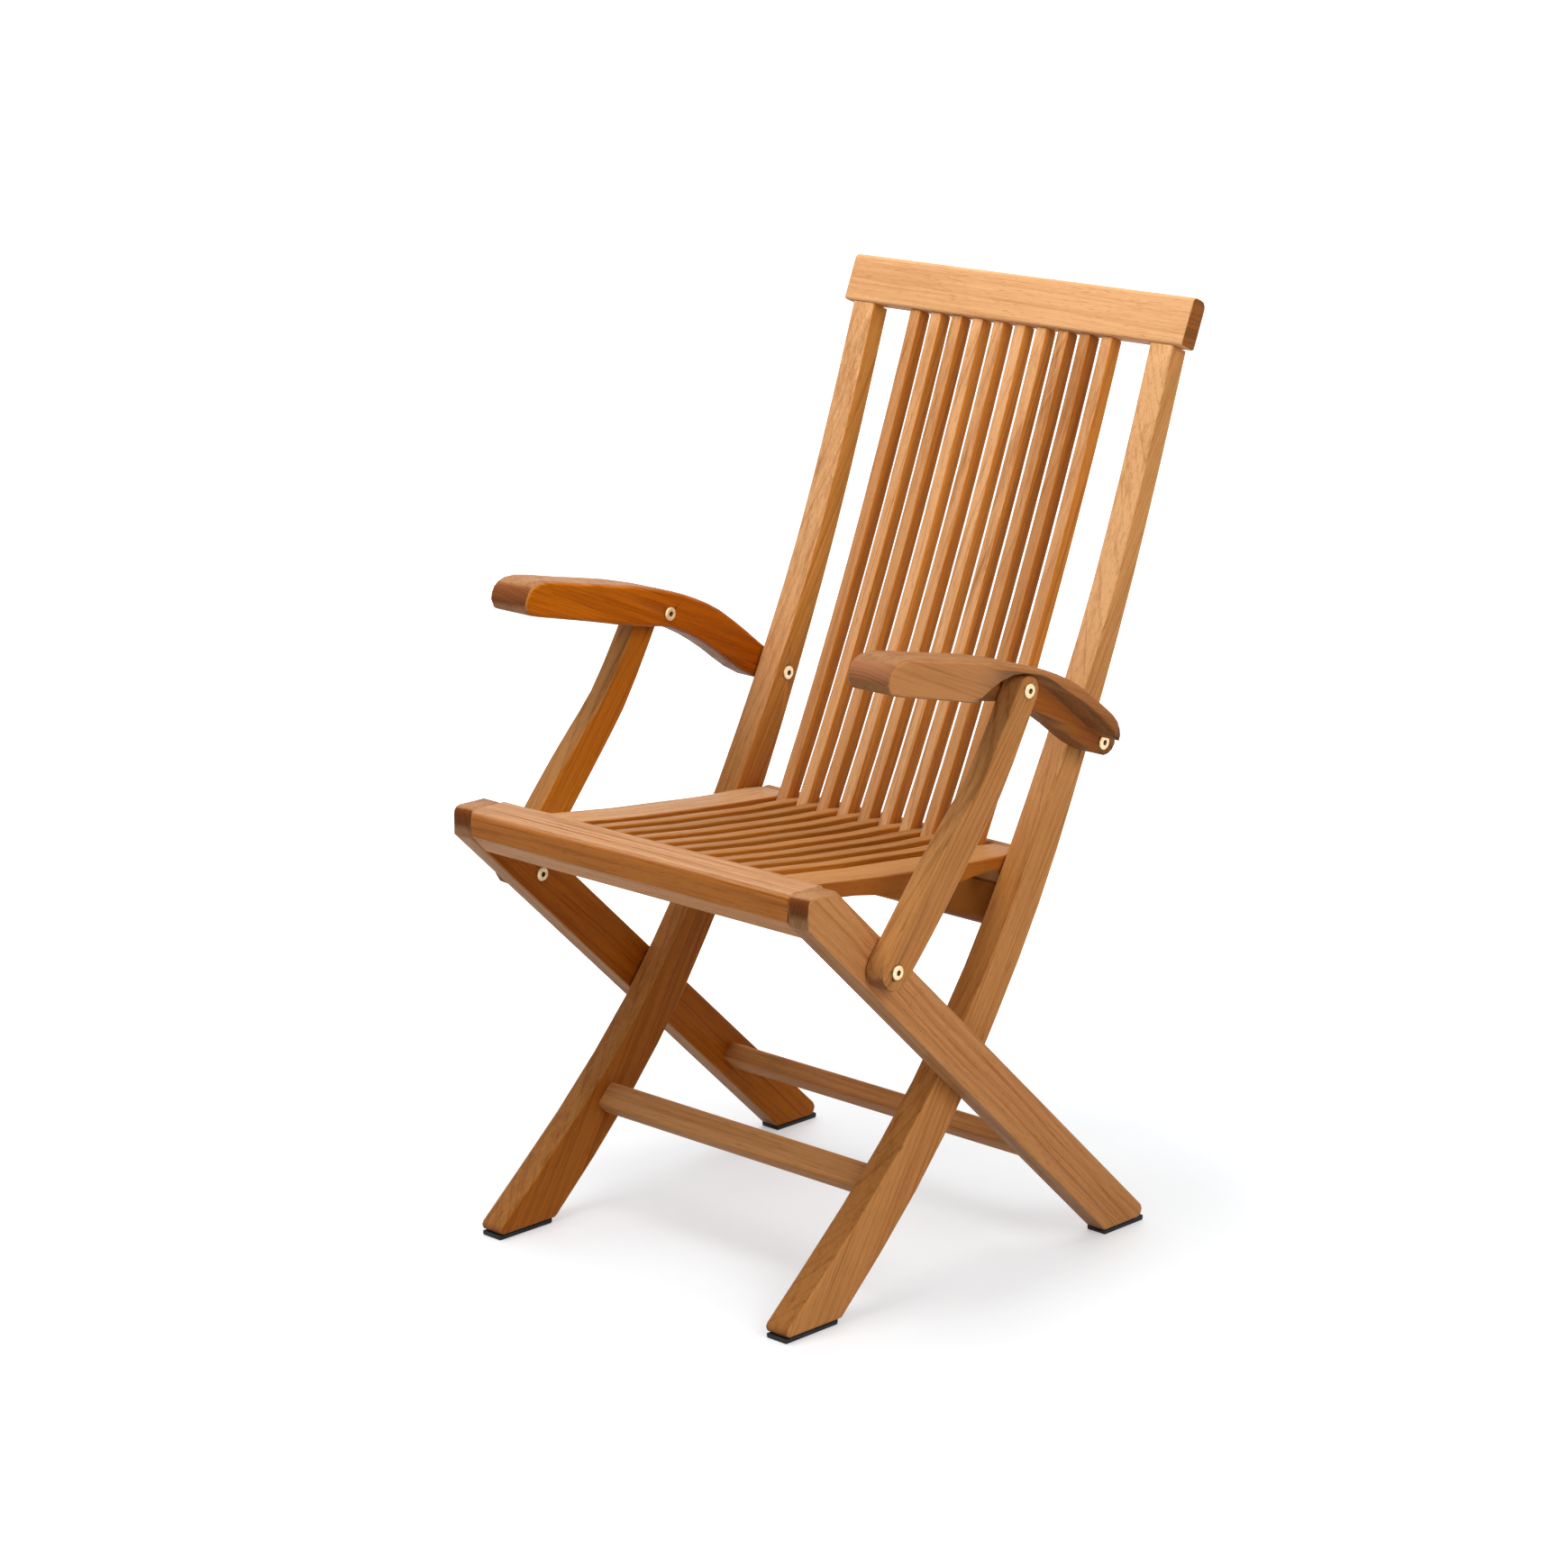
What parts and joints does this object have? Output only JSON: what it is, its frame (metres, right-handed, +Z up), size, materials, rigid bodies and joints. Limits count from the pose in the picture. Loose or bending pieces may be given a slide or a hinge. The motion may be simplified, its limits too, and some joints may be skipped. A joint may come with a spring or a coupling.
{
  "type": "folding armchair",
  "caption": "Folding teak armchair with a high curved slatted back, slatted seat, crossed legs, broad arms and curved arm supports.",
  "frame": {"origin": "on the floor, under the middle of the open chair's bounding box", "axes": "+X to the sitter's left, -Y to the front of the chair, +Z up"},
  "size_m": [0.59, 0.638, 1.0246],
  "materials": {
    "teak": "oiled",
    "brass": "satin",
    "steel": "satin",
    "rubber": "matt"
  },
  "bodies": {
    "back_frame": {"left_post": "teak", "right_post": "teak", "top_rail": "teak", "back_slat_1": "teak", "back_slat_2": "teak", "back_slat_3": "teak", "back_slat_4": "teak", "back_slat_5": "teak", "back_slat_6": "teak", "back_slat_7": "teak", "back_slat_8": "teak", "back_slat_9": "teak", "back_slat_10": "teak", "back_crossbar": "teak", "front_stretcher": "teak", "left_front_pad": "rubber", "right_front_pad": "rubber", "left_arm_pivot_screw": "brass", "left_arm_pivot_barrel": "brass", "right_arm_pivot_screw": "brass", "right_arm_pivot_barrel": "brass"},
    "leg_frame": {"left_leg": "teak", "right_leg": "teak", "rear_stretcher": "teak", "left_rear_pad": "rubber", "right_rear_pad": "rubber", "left_crossing_pin": "steel", "right_crossing_pin": "steel", "left_seat_pin": "steel", "right_seat_pin": "steel", "left_support_foot_screw": "brass", "left_support_foot_barrel": "brass", "right_support_foot_screw": "brass", "right_support_foot_barrel": "brass"},
    "seat": {"seat_front_rail": "teak", "seat_rear_batten": "teak", "seat_left_rail": "teak", "seat_right_rail": "teak", "seat_slat_1": "teak", "seat_slat_2": "teak", "seat_slat_3": "teak", "seat_slat_4": "teak", "seat_slat_5": "teak", "seat_slat_6": "teak", "seat_slat_7": "teak", "seat_slat_8": "teak", "seat_slat_9": "teak"},
    "left_arm": {"left_arm": "teak", "left_support_top_screw": "brass", "left_support_top_barrel": "brass"},
    "left_support": {"left_arm_support": "teak"},
    "right_arm": {"right_arm": "teak", "right_support_top_screw": "brass", "right_support_top_barrel": "brass"},
    "right_support": {"right_arm_support": "teak"}
  },
  "joints": [
    {"name": "fold", "type": "hinge", "parent": "back_frame", "child": "leg_frame", "pos_m": [0, -0.05126, 0.2395], "axis": [-1, 0, 0], "range_deg": [0, 65]},
    {"name": "seat_hinge", "type": "hinge", "parent": "leg_frame", "child": "seat", "pos_m": [0, -0.29104, 0.465], "axis": [1, 0, 0], "range_deg": [0, 124.53]},
    {"name": "left_arm_hinge", "type": "hinge", "parent": "back_frame", "child": "left_arm", "pos_m": [0.2514, 0.13924, 0.5663], "axis": [-1, 0, 0], "range_deg": [0, 76.36]},
    {"name": "left_support_hinge", "type": "hinge", "parent": "left_arm", "child": "left_support", "pos_m": [0.2797, -0.01526, 0.6542], "axis": [1, 0, 0], "range_deg": [0, 83.72]},
    {"name": "right_arm_hinge", "type": "hinge", "parent": "back_frame", "child": "right_arm", "pos_m": [-0.2514, 0.13924, 0.5663], "axis": [-1, 0, 0], "range_deg": [0, 76.36]},
    {"name": "right_support_hinge", "type": "hinge", "parent": "right_arm", "child": "right_support", "pos_m": [-0.2797, -0.01526, 0.6542], "axis": [1, 0, 0], "range_deg": [0, 83.72]}
  ],
  "couplings": [
    {"joint": "seat_hinge", "follows": "fold", "ratio": 1.915},
    {"joint": "left_arm_hinge", "follows": "fold", "ratio": 1.174},
    {"joint": "left_support_hinge", "follows": "fold", "ratio": 1.2873},
    {"joint": "right_arm_hinge", "follows": "fold", "ratio": 1.174},
    {"joint": "right_support_hinge", "follows": "fold", "ratio": 1.2873}
  ]
}
